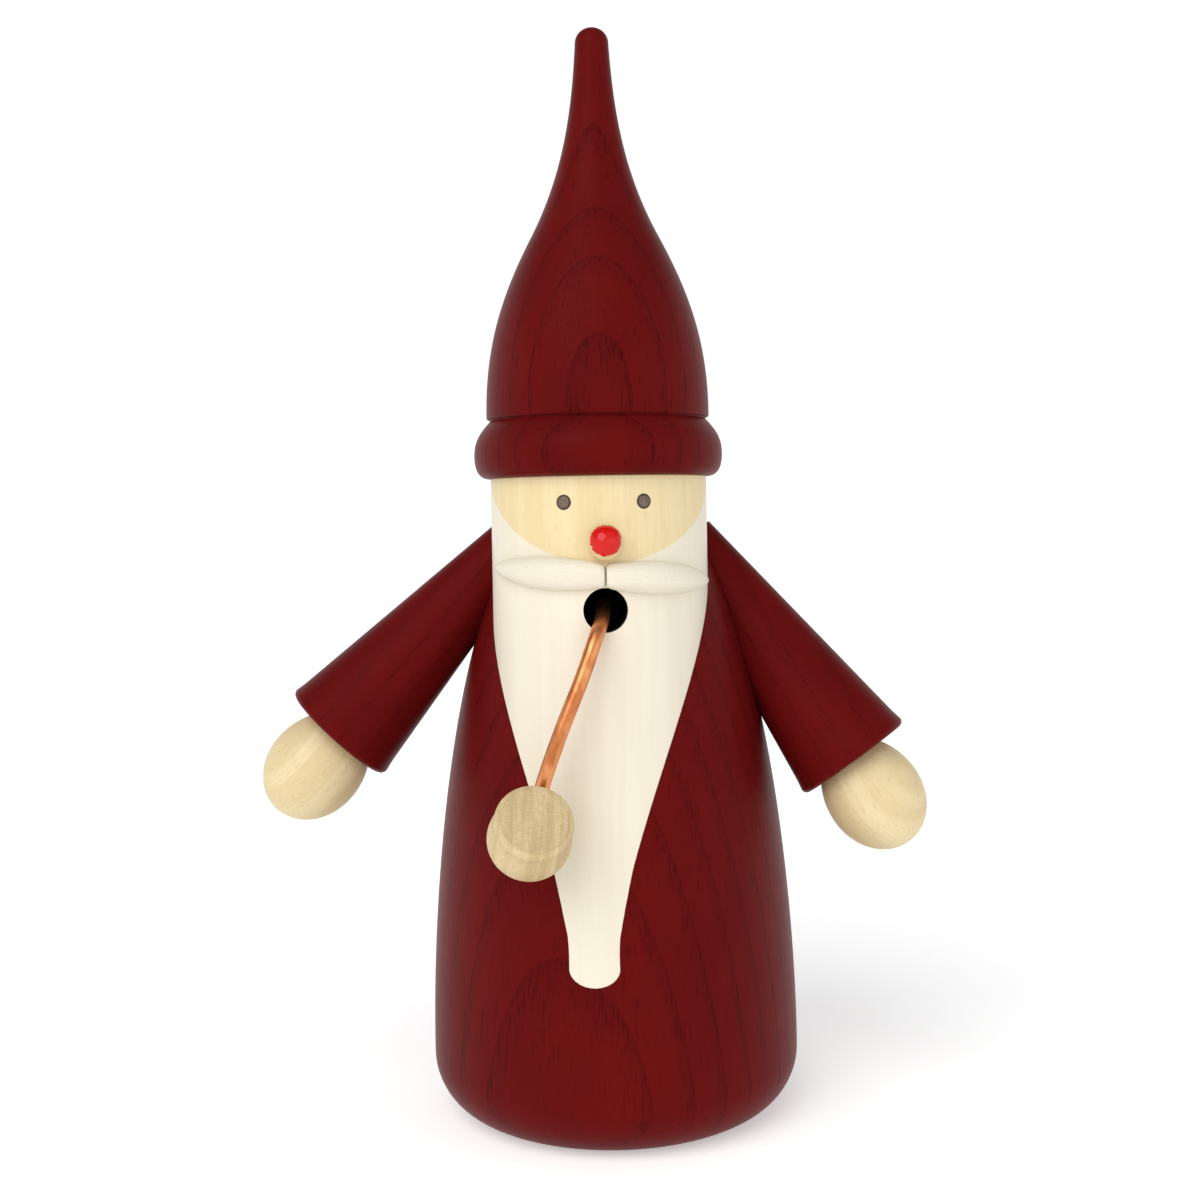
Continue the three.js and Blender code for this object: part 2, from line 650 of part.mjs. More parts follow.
function hatOutline() {
  const under = GAP;
  const step = under + BRIM_HEIGHT;
  const brim = [BRIM_RADIUS, under + 3.2];
  const waist = [HAT_RADIUS - 0.5, step - 0.25];
  return [
    [0, under],
    [HEAD_RADIUS + 0.2, under],
    ...bezier([HEAD_RADIUS + 0.2, under], [BRIM_RADIUS - 0.4, under], [BRIM_RADIUS, under + 1.6], brim, 4),
    ...bezier(brim, [BRIM_RADIUS, under + 5.6], [HAT_RADIUS + 0.7, step - 1.6], waist, 4),
    [HAT_RADIUS - 0.5, step],
    [HAT_RADIUS - 0.1, step],
    [HAT_RADIUS, step + 0.2],
    ...bezier(
      [HAT_RADIUS, step + 0.2],
      [HAT_RADIUS, step + 9],
      [HAT_SHOULDER_RADIUS + 4.9, HAT_SHOULDER_HEIGHT - 9.2],
      [HAT_SHOULDER_RADIUS, HAT_SHOULDER_HEIGHT],
      7,
    ),
    ...bezier(
      [HAT_SHOULDER_RADIUS, HAT_SHOULDER_HEIGHT],
      [HAT_SHOULDER_RADIUS - 4.8, HAT_SHOULDER_HEIGHT + 9],
      [HAT_TIP_RADIUS + 0.55, HAT_HEIGHT - 11.4],
      [HAT_TIP_RADIUS, HAT_HEIGHT - HAT_TIP_HEIGHT],
      7,
    ),
    ...arc(0, HAT_HEIGHT - HAT_TIP_HEIGHT, HAT_TIP_RADIUS, HAT_TIP_HEIGHT, 0, Math.PI / 2, 3).slice(1),
  ];
}

const hatSocket = bar(HAT_DOWEL_RADIUS + GAP, 0, HAT_DOWEL_LENGTH / 2 + GAP * 2);
addPiece(head, "hat", turned(hatOutline(), LARGE_SIDES).subtract(hatSocket), wood.redAsh);
const hatDowel = bar(HAT_DOWEL_RADIUS, -HAT_DOWEL_LENGTH / 2, HAT_DOWEL_LENGTH / 2 + GAP);
addPiece(head, "hat_dowel", hatDowel, wood.beech);

export default gnome;
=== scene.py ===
"""A turned wooden gnome that smokes incense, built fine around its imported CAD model.

Sizes are in millimetres and are turned into metres as each mesh is made. +Z is up, and the face looks
along -Y. "right" and "left" are the gnome's own sides, so its right arm is on the -X side.
"""

import math

import bpy
from mathutils import Matrix, Vector


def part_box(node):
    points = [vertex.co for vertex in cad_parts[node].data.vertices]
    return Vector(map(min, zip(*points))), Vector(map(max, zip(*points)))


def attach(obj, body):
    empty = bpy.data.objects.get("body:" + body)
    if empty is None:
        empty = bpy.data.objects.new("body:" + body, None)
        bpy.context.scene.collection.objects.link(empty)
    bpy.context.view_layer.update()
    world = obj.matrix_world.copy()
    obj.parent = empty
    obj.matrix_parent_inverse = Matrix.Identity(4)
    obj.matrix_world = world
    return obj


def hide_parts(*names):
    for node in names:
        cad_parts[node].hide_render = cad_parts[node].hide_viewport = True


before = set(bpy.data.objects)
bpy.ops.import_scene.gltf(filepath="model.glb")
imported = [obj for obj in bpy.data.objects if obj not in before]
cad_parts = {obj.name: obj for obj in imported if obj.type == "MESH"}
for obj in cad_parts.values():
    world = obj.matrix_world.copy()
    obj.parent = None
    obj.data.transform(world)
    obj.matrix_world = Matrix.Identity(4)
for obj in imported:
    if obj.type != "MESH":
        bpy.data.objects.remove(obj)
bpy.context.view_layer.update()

MM = 0.001
SEAM = 0.03  # between pieces that are glued or seated
FINE = 224  # facets round the body, the head and the hat
MEDIUM = 128
SMALL = 64
SHARP_EDGE = math.radians(32)

# Body, chamber and base
BODY_RADIUS = 26.77
BODY_WIDEST_HEIGHT = 8.5
BODY_RISE = 82.3
DOME_FULLNESS = 2.66
DOME_TAPER = 1.75
FOOT_ROUNDING = 8
CHAMBER_RADIUS = 15
CHAMBER_TOP = 58
CHAMBER_TOP_CHAMFER = 4
PLUG_SEAT_RADIUS = 16.2
PLUG_SEAT_DEPTH = 6
AIR_HOLE_RADIUS = 1.8
AIR_HOLE_CIRCLE = 12.6
AIR_HOLE_COUNT = 6
DISH_RADIUS = 9.5
DISH_FLOOR = 6.3
DISH_RIM_HEIGHT = 2.6
DISH_WALL = 0.6
PLUG_CLEARANCE = 3 * SEAM
PLUG_EDGE_ROUNDING = 0.6
NAIL_RADIUS = 0.7
NAIL_POINT = 1
NAIL_HEAD_RADIUS = 1.6
NAIL_HEAD_HEIGHT = 0.7

# Head, with heights measured down from its top
HEAD_RADIUS = 15.13
HEAD_LENGTH = 74.5
HEAD_FOOT_INSET = 3.6
HEAD_FOOT_HEIGHT = 8.2
HEAD_TOP = Vector((-0.88, -5.52, 92.6))
HEAD_TILT_BACK = math.radians(4.72)
HEAD_LEAN_LEFT = math.radians(0.27)
FACE_TURN = math.radians(2.6)
FACE_DIP = 11.8  # how far the bare face reaches down in the middle
CHANNEL_RADIUS = 5.5
CHANNEL_TOP = 11.6
MOUTH_RADIUS = 3
MOUTH_DROP = 18
EYE_RADIUS = 1.0
EYE_DROP = 3.5
EYE_ANGLE = math.radians(20.8)
NOSE_RADIUS = 2.4
NOSE_PROUD = 1.2
NOSE_DROP = 8.9
MOUSTACHE_DROP = 13.4
MOUSTACHE_HALF_HEIGHT = 2.25
MOUSTACHE_PROUD = 1.75
MOUSTACHE_TIP_ANGLE = math.radians(72)
MOUSTACHE_SLOPE = math.radians(3.4)
PEG_HOLE_DEPTH = 5
BEARD_EASE = 0.038  # how far the beard's outline is let out and then drawn in, to taper it
BEARD_EASE_START = 50  # below the head's top
BEARD_EASE_LENGTH = 13.5

# Hat
BRIM_RADIUS = 17.4
BRIM_HEIGHT = 8.3
HAT_RADIUS = 15.6
HAT_HEIGHT = 62.7
HAT_SHOULDER_HEIGHT = 33.5
HAT_SHOULDER_RADIUS = 9
HAT_TIP_RADIUS = 2.35

# Arms
SLEEVE_LENGTH = 37
SLEEVE_END_RADIUS = 8.75
SLEEVE_TAPER = math.radians(7.3)
SLEEVE_EDGE_ROUNDING = 0.8
SHOULDER_X = 13.9
SHOULDER_Y = 2.7
ARMS = (
    ("right", -1, 82.4, math.radians(46), math.radians(5.5)),
    ("left", 1, 80.9, math.radians(54.3), math.radians(12)),
)
HAND_RADIUS = 6.9
HAND_PROUD = 14
HAND_OFFSET = 0.8
HAND_SOCKET_DEPTH = 3

# Pipe, in the face's own frame, with points given from the lowest point of the mouth's edge
WIRE_RADIUS = 1
LIP = Vector((0, -HEAD_RADIUS, -MOUTH_DROP - MOUTH_RADIUS))
PIPE_LEG_START = Vector((1.3, CHANNEL_RADIUS + 1.1, 5.65 - MOUTH_DROP))
PIPE_LEG_END = LIP + Vector((-0.55, 0.33, WIRE_RADIUS + 0.6))
PIPE_BENDS = (
    LIP + Vector((-1.35, -2.2, -0.1)),
    LIP + Vector((-2.3, -3.4, -2.6)),
    LIP + Vector((-3.65, -4.3, -6.1)),
    LIP + Vector((-6, -4.9, -11.7)),
    LIP + Vector((-8.15, -4.7, -17.4)),
    LIP + Vector((-9.5, -4.45, -21.5)),
)
BOWL_FACE = LIP + Vector((-10.1, -10.8, -23.35))
BOWL_AXIS = Vector((0.113, -0.844, 0.524)).normalized()
BOWL_RIM_RADIUS = 5.2
BOWL_FACE_RADIUS = 4.4
BOWL_RIM_HEIGHT = 1.35
BOWL_NECK_RADIUS = 4.5
BOWL_RADIUS = 5.6
BOWL_HEIGHT = 11


# ---------------------------------------------------------------- camera, light and floor

CAMERA_PLACE = Vector((-1.03, -280, 109))
CAMERA_PITCH_DOWN = math.radians(7)
CAMERA_ROLL = math.radians(-1.2)
CAMERA_LENS = 58.5
BACKDROP_EDGE = 0.3  # sine of the height above the horizon, where the backdrop all round starts to end
BACKDROP_BRIGHTNESS = 1.02
CEILING_BRIGHTNESS = 0.25


def make_camera():
    ahead = Vector((0, math.cos(CAMERA_PITCH_DOWN), -math.sin(CAMERA_PITCH_DOWN)))
    level = Vector((1, 0, 0))
    above = level.cross(ahead)
    right = level * math.cos(CAMERA_ROLL) + above * math.sin(CAMERA_ROLL)
    up = above * math.cos(CAMERA_ROLL) - level * math.sin(CAMERA_ROLL)
    camera = bpy.data.objects.new("camera", bpy.data.cameras.new("camera"))
    camera.data.lens = CAMERA_LENS
    camera.data.sensor_width = 36
    camera.data.clip_start = 0.01
    camera.data.clip_end = 20
    turn = Matrix((right, up, -ahead)).transposed().to_4x4()
    camera.matrix_world = Matrix.Translation(CAMERA_PLACE * MM) @ turn
    bpy.context.scene.collection.objects.link(camera)
    bpy.context.scene.camera = camera


def soft_light(name, place, strength, softness):
    """A light as even as daylight through a large diffuser, from the side of a place."""
    light = bpy.data.lights.new(name, "SUN")
    light.energy = strength
    light.angle = softness
    lamp = bpy.data.objects.new(name, light)
    lamp.location = place
    lamp.rotation_mode = "QUATERNION"
    lamp.rotation_quaternion = Vector(place).to_track_quat("Z", "Y")
    bpy.context.scene.collection.objects.link(lamp)


def make_studio():
    """A white backdrop all round, a dim ceiling, and two soft lights in front and above."""
    scene = bpy.context.scene
    scene.view_settings.view_transform = "Standard"
    world = bpy.data.worlds.new("studio")
    world.use_nodes = True
    tree = world.node_tree
    background = tree.nodes["Background"]
    towards = tree.nodes.new("ShaderNodeTexCoord")
    axes = tree.nodes.new("ShaderNodeSeparateXYZ")
    tree.links.new(towards.outputs["Generated"], axes.inputs[0])
    backdrop = tree.nodes.new("ShaderNodeMapRange")
    backdrop.interpolation_type = "SMOOTHSTEP"
    backdrop.inputs["From Min"].default_value = BACKDROP_EDGE
    backdrop.inputs["From Max"].default_value = BACKDROP_EDGE + 0.2
    backdrop.inputs["To Min"].default_value = BACKDROP_BRIGHTNESS
    backdrop.inputs["To Max"].default_value = CEILING_BRIGHTNESS
    tree.links.new(axes.outputs["Z"], backdrop.inputs["Value"])
    tree.links.new(backdrop.outputs[0], background.inputs["Strength"])
    background.inputs["Color"].default_value = (1, 1, 1, 1)
    scene.world = world
    soft_light("key", (-0.45, -0.75, 0.8), 1.58, math.radians(50))
    soft_light("fill", (0.6, -0.7, 0.55), 0.4, math.radians(70))


make_camera()
make_studio()


# ---------------------------------------------------------------- mesh making


def finish_mesh(name, points, faces, place):
    """A smooth mesh object from points in millimetres in a frame of their own."""
    mesh = bpy.data.meshes.new(name)
    mesh.from_pydata([(place @ Vector(p)) * MM for p in points], [], faces)
    mesh.validate()
    mesh.update()
    piece = bpy.data.objects.new(name, mesh)
    bpy.context.scene.collection.objects.link(piece)
    return piece


def smooth(piece):
    piece.data.shade_smooth()
    piece.data.set_sharp_from_angle(angle=SHARP_EDGE)
    return piece


def turned(name, outline, sides, place=Matrix(), warp=None):
    """A closed turning about Z from (radius, height) points, which run from the axis back to the axis."""
    rings = outline[1:-1]
    points = [(0, 0, outline[0][1])]
    for radius, height in rings:
        for i in range(sides):
            angle = 2 * math.pi * i / sides
            points.append((radius * math.cos(angle), radius * math.sin(angle), height))
    points.append((0, 0, outline[-1][1]))
    if warp:
        points = [warp(Vector(p)) for p in points]
    faces = []
    last = len(points) - 1
    for i in range(sides):
        j = (i + 1) % sides
        faces.append((0, 1 + j, 1 + i))
        for ring in range(len(rings) - 1):
            low = 1 + ring * sides
            faces.append((low + i, low + j, low + sides + j, low + sides + i))
        top = 1 + (len(rings) - 1) * sides
        faces.append((top + i, top + j, last))
    return finish_mesh(name, points, faces, place)


def arc(centre_radius, centre_height, width, height, start, end, steps):
    """Points on a part of an ellipse in an outline's plane, with angles in degrees."""
    points = []
    for i in range(steps + 1):
        angle = math.radians(start + (end - start) * i / steps)
        points.append((centre_radius + width * math.cos(angle), centre_height + height * math.sin(angle)))
    return points


def bezier(start, pull_start, pull_end, end, steps):
    """Points on a cubic Bezier curve, without its first point."""
    points = []
    for i in range(1, steps + 1):
        t = i / steps
        s = 1 - t
        weights = (s**3, 3 * s * s * t, 3 * s * t * t, t**3)
        corners = (start, pull_start, pull_end, end)
        points.append(tuple(sum(w * c[k] for w, c in zip(weights, corners)) for k in (0, 1)))
    return points


def bar(name, radius, bottom, top, sides, place=Matrix()):
    return turned(name, [(0, bottom), (radius, bottom), (radius, top), (0, top)], sides, place)


def along(direction, origin=Vector((0, 0, 0))):
    """The matrix that lays +Z along a direction and puts the origin at a point."""
    turn = Vector((0, 0, 1)).rotation_difference(Vector(direction).normalized())
    return Matrix.Translation(origin) @ turn.to_matrix().to_4x4()


def cut(piece, *cutters):
    """Takes the cutters away from a piece, and removes them."""
    for cutter in cutters:
        modifier = piece.modifiers.new("cut", "BOOLEAN")
        modifier.operation = "DIFFERENCE"
        modifier.solver = "EXACT"
        modifier.object = cutter
    bpy.context.view_layer.update()
    result = bpy.data.meshes.new_from_object(piece.evaluated_get(bpy.context.evaluated_depsgraph_get()))
    piece.modifiers.clear()
    piece.data = result
    for cutter in cutters:
        bpy.data.objects.remove(cutter)
    return piece


def catmull_rom(points, steps):
    """Points on a centripetal Catmull-Rom curve through the given points."""
    padded = [points[0] * 2 - points[1], *points, points[-1] * 2 - points[-2]]
    way = []
    for i in range(len(points) - 1):
        a, b, c, d = padded[i : i + 4]
        ab, bc, cd = (math.sqrt((q - p).length) for p, q in ((a, b), (b, c), (c, d)))
        start = ((b - a) / ab - (c - a) / (ab + bc) + (c - b) / bc) * bc
        end = ((c - b) / bc - (d - b) / (bc + cd) + (d - c) / cd) * bc
        for k in range(steps):
            t = k / steps
            way.append(
                b
                + start * t
                + (3 * (c - b) - 2 * start - end) * t * t
                + (2 * (b - c) + start + end) * t**3
            )
    return way + [points[-1]]


def tube(name, way, radius, sides, place):
    """A round wire along a way, with closed ends."""
    points = []
    side = Vector((1, 0, 0))
    for i, centre in enumerate(way):
        ahead = (way[min(i + 1, len(way) - 1)] - way[max(i - 1, 0)]).normalized()
        side = (side - ahead * side.dot(ahead)).normalized()
        other = ahead.cross(side)
        for k in range(sides):
            angle = 2 * math.pi * k / sides
            points.append(centre + (side * math.cos(angle) + other * math.sin(angle)) * radius)
    faces = [tuple(range(sides))[::-1]]
    for i in range(len(way) - 1):
        for k in range(sides):
            j = (k + 1) % sides
            faces.append((i * sides + k, i * sides + j, (i + 1) * sides + j, (i + 1) * sides + k))
    faces.append(tuple((len(way) - 1) * sides + k for k in range(sides)))
    return finish_mesh(name, points, faces, place)


# ---------------------------------------------------------------- frames

head_frame = (
    Matrix.Translation(HEAD_TOP)
    @ Matrix.Rotation(-HEAD_TILT_BACK, 4, "X")
    @ Matrix.Rotation(HEAD_LEAN_LEFT, 4, "Y")
)
face_frame = head_frame @ Matrix.Rotation(FACE_TURN, 4, "Z")


def out_of_face(angle, drop):
    """A frame with +Z straight out of the face at an angle and a drop from the head's top."""
    return face_frame @ along((math.sin(angle), -math.cos(angle), 0), Vector((0, 0, -drop)))


def arm_frame(side, height, hang, swing):
    """A frame with +Z running out along the arm from its shoulder."""
    direction = (
        side * math.cos(hang) * math.cos(swing),
        -math.sin(swing),
        -math.sin(hang) * math.cos(swing),
    )
    return along(direction, Vector((side * SHOULDER_X, SHOULDER_Y, height)))


def hand_frame(frame_of_arm):
    """The hand's frame, a little towards the body from the sleeve's axis."""
    inward = frame_of_arm.to_3x3().inverted() @ Vector((0, 0, -1))
    inward.z = 0
    shift = inward.normalized() * HAND_OFFSET + Vector((0, 0, SLEEVE_LENGTH))
    return frame_of_arm @ Matrix.Translation(shift)


# ---------------------------------------------------------------- shader making


class Finish:
    """A material's nodes, with short calls for the kinds of node used here."""

    def __init__(self, name):
        self.material = bpy.data.materials.new(name)
        self.material.use_nodes = True
        self.tree = self.material.node_tree
        self.surface = self.tree.nodes["Principled BSDF"]
        self.place = self.tree.nodes.new("ShaderNodeTexCoord").outputs["Object"]

    def node(self, kind, settings=(), **inputs):
        node = self.tree.nodes.new(kind)
        for key, value in dict(settings).items():
            setattr(node, key, value)
        for key, value in inputs.items():
            self.set(node.inputs[key.replace("_", " ")], value)
        return node

    def set(self, socket, value):
        if isinstance(value, bpy.types.NodeSocket):
            self.tree.links.new(value, socket)
        else:
            socket.default_value = value

    def math(self, operation, *values):
        node = self.node("ShaderNodeMath", {"operation": operation})
        for socket, value in zip(node.inputs, values):
            self.set(socket, value)
        return node.outputs[0]

    def grain_place(self, grain_frame):
        """The point in a frame of its own, in millimetres, with the grain along its Z."""
        back = grain_frame.inverted()
        turn = back.to_euler("XYZ")
        node = self.node("ShaderNodeMapping", {"vector_type": "POINT"}, Vector=self.place)
        node.inputs["Location"].default_value = back.translation
        node.inputs["Rotation"].default_value = turn
        node.inputs["Scale"].default_value = (1 / MM, 1 / MM, 1 / MM)
        return node.outputs["Vector"]

    def split(self, vector):
        node = self.node("ShaderNodeSeparateXYZ", Vector=vector)
        return node.outputs["X"], node.outputs["Y"], node.outputs["Z"]

    def stretch(self, vector, x, y, z):
        node = self.node("ShaderNodeVectorMath", {"operation": "MULTIPLY"})
        self.set(node.inputs[0], vector)
        self.set(node.inputs[1], (x, y, z))
        return node.outputs["Vector"]

    def noise(self, vector, scale=1.0, detail=2.0, roughness=0.5):
        node = self.node("ShaderNodeTexNoise", Vector=vector, Scale=scale, Detail=detail, Roughness=roughness)
        return node.outputs[0]

    def band(self, value, low, high):
        """0 below low and 1 above high, smooth between them."""
        node = self.node("ShaderNodeMapRange", {"interpolation_type": "SMOOTHSTEP"}, Value=value)
        self.set(node.inputs["From Min"], low)
        self.set(node.inputs["From Max"], high)
        return node.outputs[0]

    def mix(self, share, a, b):
        node = self.node("ShaderNodeMix", {"data_type": "RGBA"})
        self.set(node.inputs[0], share)
        self.set(node.inputs[6], a)
        self.set(node.inputs[7], b)
        return node.outputs[2]

    def bump(self, height, strength, distance_mm):
        node = self.node("ShaderNodeBump", Height=height, Strength=strength, Distance=distance_mm * MM)
        return node.outputs["Normal"]

    def surface_set(self, **inputs):
        for key, value in inputs.items():
            self.set(self.surface.inputs[key.replace("_", " ")], value)
        return self.material


def rgb(red, green, blue):
    """A colour given as it looks on screen, 0 to 255, in linear light."""
    linear = []
    for c in (red, green, blue):
        share = c / 255
        linear.append(share / 12.92 if share <= 0.04045 else ((share + 0.055) / 1.055) ** 2.4)
    return (*linear, 1.0)


RING_WIDTH = 3.65  # between one year's ring and the next in the ash


def ash(name, grain_frame, ring_start=0.0, lean=0.0, hollow=0.0, skew=0.0, contrast=1.0):
    """Open-pored ash under a satin red stain: rings with rows of dark pores, fine fibre, soft mottling.

    The rings cut the piece in layers across Y, which lean against its axis and may be hollow to the front.
    """
    f = Finish(name)
    place = f.grain_place(grain_frame)
    sway = f.noise(f.stretch(place, 0.06, 0.06, 0.02), detail=1.0)
    x, y, z = f.split(place)
    depth = f.math("ADD", y, f.math("MULTIPLY", z, float(lean)))
    depth = f.math("ADD", depth, f.math("MULTIPLY", f.math("MULTIPLY", x, x), float(hollow)))
    depth = f.math("ADD", depth, f.math("MULTIPLY", x, float(skew)))
    depth = f.math("SUBTRACT", f.math("MULTIPLY", f.math("SUBTRACT", sway, 0.5), 1.2), depth)
    ring = f.math("FRACT", f.math("ADD", f.math("DIVIDE", depth, RING_WIDTH), 100.0 + ring_start))
    # early wood: a sharp start, then a slow fade outwards
    early = f.math("MULTIPLY", f.band(ring, 0.0, 0.04), f.math("SUBTRACT", 1.0, f.band(ring, 0.08, 0.4)))
    line = f.math("MULTIPLY", f.band(ring, 0.0, 0.03), f.math("SUBTRACT", 1.0, f.band(ring, 0.04, 0.12)))
    dashes = f.band(f.noise(f.stretch(place, 3.0, 3.0, 0.26), detail=1.0), 0.54, 0.66)
    stray = f.band(f.noise(f.stretch(place, 2.3, 2.3, 0.28), detail=0.0), 0.66, 0.76)
    pits = f.math("MAXIMUM", f.math("MULTIPLY", dashes, early), f.math("MULTIPLY", stray, 0.5))
    fibre = f.noise(f.stretch(place, 6.0, 6.0, 0.22), detail=3.0)
    mottle = f.noise(f.stretch(place, 0.12, 0.12, 0.05), detail=2.0)
    base = f.mix(mottle, rgb(84, 11, 12), rgb(104, 17, 16))
    base = f.mix(f.math("MULTIPLY", f.band(fibre, 0.42, 0.66), 0.22), base, rgb(82, 10, 10))
    base = f.mix(f.math("MULTIPLY", early, 0.16 * contrast), base, rgb(68, 7, 9))
    base = f.mix(f.math("MULTIPLY", line, 0.22 * contrast), base, rgb(58, 6, 7))
    base = f.mix(f.math("MULTIPLY", pits, 0.5 * contrast), base, rgb(46, 5, 6))
    height = f.math("SUBTRACT", f.math("MULTIPLY", fibre, 0.2), pits)
    return f.surface_set(
        Base_Color=base,
        Roughness=f.math("ADD", 0.34, f.math("MULTIPLY", fibre, 0.14)),
        Specular_IOR_Level=0.06,
        Specular_Tint=(1.0, 0.35, 0.35, 1.0),
        Normal=f.bump(height, 0.4, 0.05),
    )


def head_wood():
    """Pale maple, bare on the face and white-glazed on the beard, with painted shade darkening the inside of
    the mouth and smoke way.
    """
    f = Finish("face_and_beard")
    place = f.grain_place(face_frame)
    x, y, z = f.split(place)
    dip = f.math("ADD", z, f.math("MULTIPLY", y, -FACE_DIP / HEAD_RADIUS))
    bare = f.band(dip, -0.12, 0.12)
    radius = f.math("SQRT", f.math("ADD", f.math("MULTIPLY", x, x), f.math("MULTIPLY", y, y)))
    streak = f.noise(f.stretch(place, 0.55, 0.55, 0.03), detail=3.0, roughness=0.6)
    fibre = f.noise(f.stretch(place, 4.5, 4.5, 0.22), detail=3.0)
    fleck = f.band(f.noise(f.stretch(place, 1.6, 1.6, 0.5), detail=1.0), 0.62, 0.72)
    wood = f.mix(f.band(streak, 0.35, 0.65), rgb(230, 211, 166), rgb(225, 204, 156))
    wood = f.mix(f.math("MULTIPLY", f.band(fibre, 0.45, 0.7), 0.22), wood, rgb(216, 193, 144))
    wood = f.mix(f.math("MULTIPLY", fleck, 0.16), wood, rgb(205, 177, 132))
    glaze = f.mix(f.band(streak, 0.35, 0.65), rgb(231, 223, 204), rgb(228, 219, 199))
    glaze = f.mix(f.math("MULTIPLY", f.band(fibre, 0.5, 0.75), 0.12), glaze, rgb(220, 208, 186))
    skin = f.mix(bare, glaze, wood)
    # painted shade: near-black colour deep inside the mouth and channel bores where shade falls, which also
    # roughens them
    painted_bore_shade = f.math("SUBTRACT", 1.0, f.band(radius, HEAD_RADIUS - 1.3, HEAD_RADIUS - 0.25))
    skin = f.mix(painted_bore_shade, skin, rgb(22, 17, 14))
    height = f.math("ADD", fibre, f.math("MULTIPLY", bare, -0.25))
    return f.surface_set(
        Base_Color=skin,
        Roughness=f.math("ADD", 0.42, f.math("MULTIPLY", painted_bore_shade, 0.4)),
        Specular_IOR_Level=0.35,
        Normal=f.bump(height, 0.25, 0.04),
    )


def light_wood(name, grain_frame, pale, deep, stripe, end_grain=False, flecks=0.25):
    """Sanded light wood with soft stripes along the grain and fine flecks."""
    f = Finish(name)
    place = f.grain_place(grain_frame)
    stripes = f.noise(f.stretch(place, stripe, 0.06, 0.03), detail=2.0, roughness=0.6)
    fibre = f.noise(f.stretch(place, 5.0, 5.0, 0.3), detail=3.0)
    fleck = f.band(f.noise(f.stretch(place, 2.4, 2.4, 0.7), detail=1.0), 0.64, 0.72)
    colour = f.mix(f.band(stripes, 0.36, 0.64), pale, deep)
    share = f.math("MULTIPLY", f.band(fibre, 0.42, 0.7), 0.22)
    colour = f.mix(share, colour, tuple(0.72 * c for c in deep[:3]) + (1.0,))
    colour = f.mix(f.math("MULTIPLY", fleck, flecks), colour, tuple(0.6 * c for c in deep[:3]) + (1.0,))
    height = fibre
    if end_grain:
        z = f.split(place)[2]
        rays = f.noise(f.stretch(place, 6.0, 0.7, 0.4), detail=3.0)
        rings = f.noise(f.stretch(place, 0.7, 6.0, 0.4), detail=3.0)
        weave = f.math("MULTIPLY", f.math("ADD", rays, rings), 0.5)
        face = f.band(z, -0.25, -0.02)
        shade = f.math("MULTIPLY", face, f.band(weave, 0.42, 0.6))
        colour = f.mix(f.math("MULTIPLY", shade, 0.4), colour, tuple(0.62 * c for c in deep[:3]) + (1.0,))
        height = f.math("ADD", f.math("MULTIPLY", fibre, 0.5), f.math("MULTIPLY", weave, 0.5))
    return f.surface_set(
        Base_Color=colour,
        Roughness=0.5,
        Specular_IOR_Level=0.35,
        Normal=f.bump(height, 0.3, 0.04),
    )


def nose_finish(frame_of_nose):
    """Glossy red lacquer with a ragged edge on a peg of natural wood."""
    f = Finish("nose_lacquer")
    place = f.grain_place(frame_of_nose)
    ragged = f.noise(place, scale=2.0, detail=3.0)
    y, z = f.split(place)[1:]
    out = f.math("SUBTRACT", z, HEAD_RADIUS + NOSE_PROUD)
    edge = f.math("ADD", out, f.math("MULTIPLY", y, 0.22))
    edge = f.math("ADD", edge, f.math("MULTIPLY", f.math("SUBTRACT", ragged, 0.5), 0.9))
    paint = f.band(edge, 1.1, 1.25)
    fibre = f.noise(f.stretch(place, 4.0, 4.0, 0.4), detail=2.0)
    wood = f.mix(fibre, rgb(226, 203, 152), rgb(208, 180, 128))
    colour = f.mix(paint, wood, rgb(204, 14, 6))
    waves = f.noise(place, scale=0.9, detail=1.0)
    height = f.math("ADD", f.math("MULTIPLY", paint, 0.6), f.math("MULTIPLY", waves, 0.8))
    return f.surface_set(
        Base_Color=colour,
        Roughness=f.math("SUBTRACT", 0.5, f.math("MULTIPLY", paint, 0.36)),
        Specular_IOR_Level=0.35,
        Normal=f.bump(height, 0.35, 0.08),
    )


def eye_finish(frame_of_eye, name):
    """A dark stained peg end, with painted shade darkening its rim so that the middle reads lighter as a
    painted gloss reflection.
    """
    f = Finish(name)
    place = f.grain_place(frame_of_eye)
    x, y = f.split(place)[:2]
    radius = f.math("SQRT", f.math("ADD", f.math("MULTIPLY", x, x), f.math("MULTIPLY", y, y)))
    # painted shade round the rim of the domed end, leaving a lighter middle as a painted reflection
    painted_rim_shade = f.band(radius, EYE_RADIUS * 0.62, EYE_RADIUS * 0.95)
    speck = f.noise(place, scale=4.0, detail=3.0)
    colour = f.mix(f.band(speck, 0.4, 0.65), rgb(116, 98, 86), rgb(92, 76, 66))
    colour = f.mix(painted_rim_shade, colour, rgb(50, 38, 31))
    return f.surface_set(
        Base_Color=colour,
        Roughness=0.42,
        Specular_IOR_Level=0.4,
        Normal=f.bump(speck, 0.3, 0.03),
    )


def copper():
    """Drawn copper wire with fine lines along it and patches of tarnish."""
    f = Finish("copper_wire")
    place = f.stretch(f.place, 1 / MM, 1 / MM, 1 / MM)
    tarnish = f.noise(f.stretch(place, 0.5, 0.5, 0.25), detail=3.0)
    lines = f.noise(f.stretch(place, 6.0, 6.0, 0.35), detail=2.0)
    colour = f.mix(f.band(tarnish, 0.38, 0.68), rgb(224, 150, 98), rgb(188, 112, 66))
    return f.surface_set(
        Base_Color=colour,
        Metallic=1.0,
        Roughness=f.math("ADD", 0.24, f.math("MULTIPLY", tarnish, 0.2)),
        Normal=f.bump(lines, 0.2, 0.02),
    )


